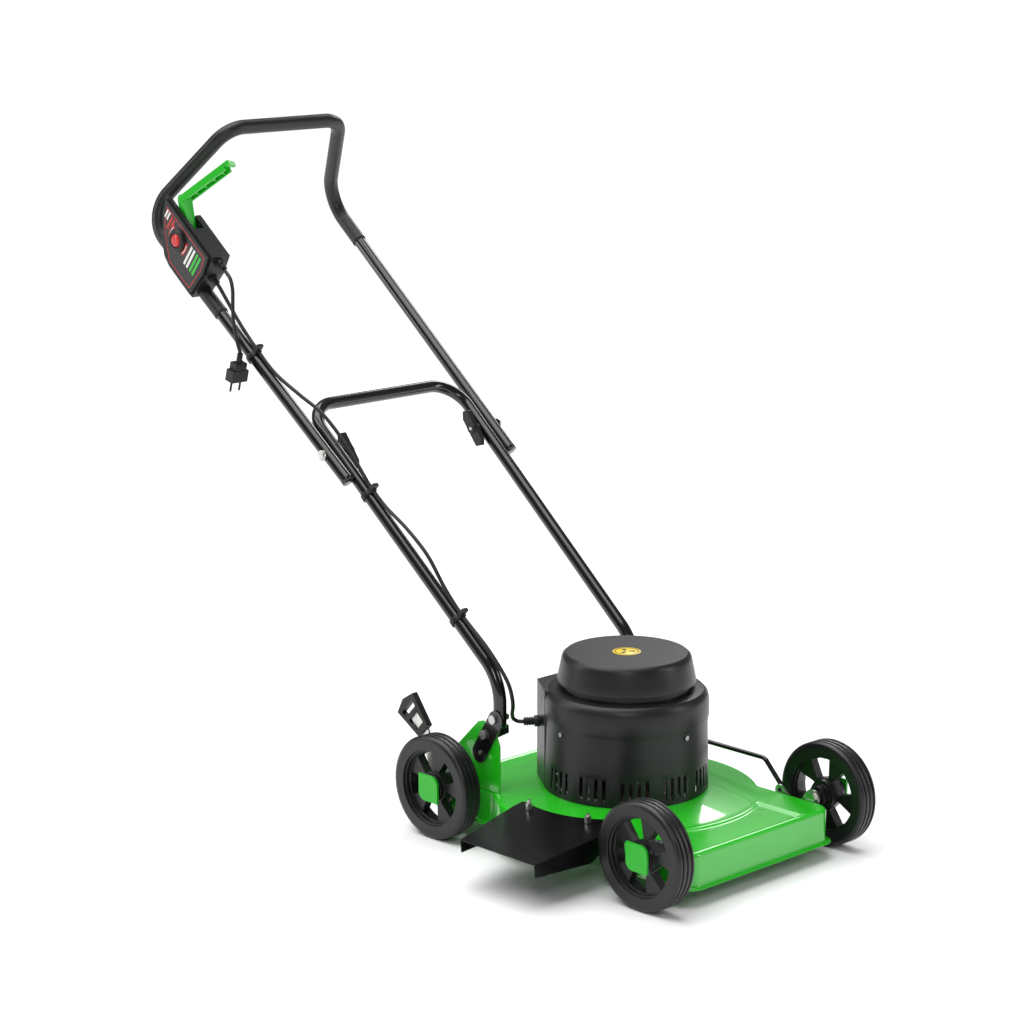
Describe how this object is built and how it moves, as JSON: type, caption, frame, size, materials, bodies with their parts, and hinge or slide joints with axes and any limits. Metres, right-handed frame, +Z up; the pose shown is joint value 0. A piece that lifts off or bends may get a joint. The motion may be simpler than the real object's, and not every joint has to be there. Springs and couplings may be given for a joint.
{
  "type": "electric rotary lawn mower",
  "caption": "Electric walk-behind rotary mower: pressed deck, vertical motor, side deflector, wheels on linked height cranks and a folding tubular handle.",
  "frame": {"origin": "on the ground, under the middle of the plan box around the whole mower", "axes": "+X forward, away from the operator; +Y to the operator's left, away from the side deflector; +Z up"},
  "size_m": [1.3132, 0.5963, 1.1399],
  "materials": {
    "green_paint": "glossy enamel over pressed sheet",
    "black_paint": "glossy enamel",
    "black_plastic": "fine grained moulding",
    "wheel_plastic": "smooth hard moulding",
    "green_plastic": "glossy moulding",
    "red_plastic": "glossy moulding",
    "zinc_steel": "bright zinc",
    "core_steel": "stacked laminations",
    "copper": "enamelled copper wire",
    "aluminium": "as cast",
    "white_plastic": "smooth",
    "cable_rubber": "soft satin"
  },
  "bodies": {
    "deck": {"deck_pan": "green_paint", "handle_brackets": "green_paint", "discharge_chute": "black_paint", "chute_bolts": "zinc_steel", "motor_cover": "black_plastic", "motor_cap": "black_plastic", "cover_screws": "zinc_steel", "cable_gland": "black_plastic", "stator_core": "core_steel", "stator_windings": "copper", "motor_base": "aluminium", "motor_top_bracket": "aluminium", "motor_bolts": "zinc_steel", "motor_bearings": "zinc_steel", "capacitor": "white_plastic", "axle_bushes": "black_plastic", "height_quadrant": "zinc_steel"},
    "rotor": {"rotor_shaft": "zinc_steel", "rotor_core": "core_steel", "cooling_fan": "black_plastic", "blade_hub": "aluminium", "cutting_blade": "zinc_steel", "blade_bolt": "zinc_steel"},
    "rear_crank": {"rear_crank_axle": "zinc_steel", "height_lever": "zinc_steel", "lever_grip": "black_plastic", "rear_wheel_pins": "zinc_steel"},
    "front_crank": {"front_crank_axle": "zinc_steel", "front_wheel_pins": "zinc_steel"},
    "link": {"link_rod": "black_paint"},
    "front_right_wheel": {"wheel_front_right": "wheel_plastic", "cap_front_right": "green_plastic"},
    "front_left_wheel": {"wheel_front_left": "wheel_plastic", "cap_front_left": "green_plastic"},
    "rear_right_wheel": {"wheel_rear_right": "wheel_plastic", "cap_rear_right": "green_plastic"},
    "rear_left_wheel": {"wheel_rear_left": "wheel_plastic", "cap_rear_left": "green_plastic"},
    "lower_frame": {"lower_handle": "black_paint", "handle_straps": "black_paint", "strap_bolts": "zinc_steel", "motor_lead_lower": "cable_rubber", "lower_clips": "black_plastic"},
    "lower_right_knob": {"knob_lower_right": "black_plastic"},
    "lower_left_knob": {"knob_lower_left": "black_plastic"},
    "upper_right_knob": {"knob_upper_right": "black_plastic"},
    "upper_left_knob": {"knob_upper_left": "black_plastic"},
    "upper_frame": {"upper_handle": "black_paint", "grip_sleeve": "cable_rubber", "switch_box": "black_plastic", "switch_panel": "red_plastic", "switch_glands": "black_plastic", "fold_bolts": "zinc_steel", "motor_lead_upper": "cable_rubber", "upper_clips": "black_plastic", "mains_cord": "cable_rubber", "mains_plug": "black_plastic"},
    "lever": {"switch_lever": "green_plastic"},
    "button": {"stop_button": "red_plastic"}
  },
  "joints": [
    {"name": "blade_spin", "type": "hinge", "parent": "deck", "child": "rotor", "pos_m": [0.31694, 0.05925, 0.1], "axis": [0, 0, 1], "continuous": true},
    {"name": "cut_height", "type": "hinge", "parent": "deck", "child": "rear_crank", "pos_m": [0.06626, 0.05925, 0.04654], "axis": [0, 1, 0], "range_deg": [0, 45]},
    {"name": "front_crank_turn", "type": "hinge", "parent": "deck", "child": "front_crank", "pos_m": [0.54026, 0.05925, 0.04654], "axis": [0, 1, 0], "range_deg": [0, 45]},
    {"name": "link_turn", "type": "hinge", "parent": "rear_crank", "child": "link", "pos_m": [0.02636, 0.05925, 0.0844], "axis": [0, 1, 0], "range_deg": [-45, 0]},
    {"name": "front_right_roll", "type": "hinge", "parent": "front_crank", "child": "front_right_wheel", "pos_m": [0.56893, -0.15925, 0.0875], "axis": [0, 1, 0], "continuous": true},
    {"name": "front_left_roll", "type": "hinge", "parent": "front_crank", "child": "front_left_wheel", "pos_m": [0.56893, 0.27775, 0.0875], "axis": [0, 1, 0], "continuous": true},
    {"name": "rear_right_roll", "type": "hinge", "parent": "rear_crank", "child": "rear_right_wheel", "pos_m": [0.09494, -0.15925, 0.0875], "axis": [0, 1, 0], "continuous": true},
    {"name": "rear_left_roll", "type": "hinge", "parent": "rear_crank", "child": "rear_left_wheel", "pos_m": [0.09494, 0.27775, 0.0875], "axis": [0, 1, 0], "continuous": true},
    {"name": "lower_fold", "type": "hinge", "parent": "deck", "child": "lower_frame", "pos_m": [0.15893, 0.05925, 0.18], "axis": [0, 1, 0], "range_deg": [0, 28], "deforming": ["motor_lead_lower"]},
    {"name": "lower_right_knob_turn", "type": "hinge", "parent": "lower_frame", "child": "lower_right_knob", "pos_m": [0.15893, -0.08075, 0.18], "axis": [0, 1, 0], "continuous": true},
    {"name": "lower_left_knob_turn", "type": "hinge", "parent": "lower_frame", "child": "lower_left_knob", "pos_m": [0.15893, 0.19925, 0.18], "axis": [0, 1, 0], "continuous": true},
    {"name": "upper_fold", "type": "hinge", "parent": "lower_frame", "child": "upper_frame", "pos_m": [-0.20306, 0.05925, 0.6], "axis": [0, 1, 0], "range_deg": [0, 140], "deforming": ["motor_lead_upper"]},
    {"name": "upper_right_knob_turn", "type": "hinge", "parent": "upper_frame", "child": "upper_right_knob", "pos_m": [-0.20306, -0.08575, 0.6], "axis": [0, 1, 0], "continuous": true},
    {"name": "upper_left_knob_turn", "type": "hinge", "parent": "upper_frame", "child": "upper_left_knob", "pos_m": [-0.20306, 0.20425, 0.6], "axis": [0, 1, 0], "continuous": true},
    {"name": "lever_squeeze", "type": "hinge", "parent": "upper_frame", "child": "lever", "pos_m": [-0.55072, -0.14735, 0.94701], "axis": [0, 1, 0], "range_deg": [-8, 0], "stiffness_Nm_per_rad": 3, "springref_deg": 4.58},
    {"name": "button_press", "type": "slide", "parent": "upper_frame", "child": "button", "axis": [0, 1, 0], "range_m": [0, 0.003], "stiffness_N_per_m": 300, "springref_m": -0.001}
  ],
  "couplings": [
    {"joint": "front_crank_turn", "follows": "cut_height", "ratio": 1},
    {"joint": "link_turn", "follows": "cut_height", "ratio": -1}
  ]
}
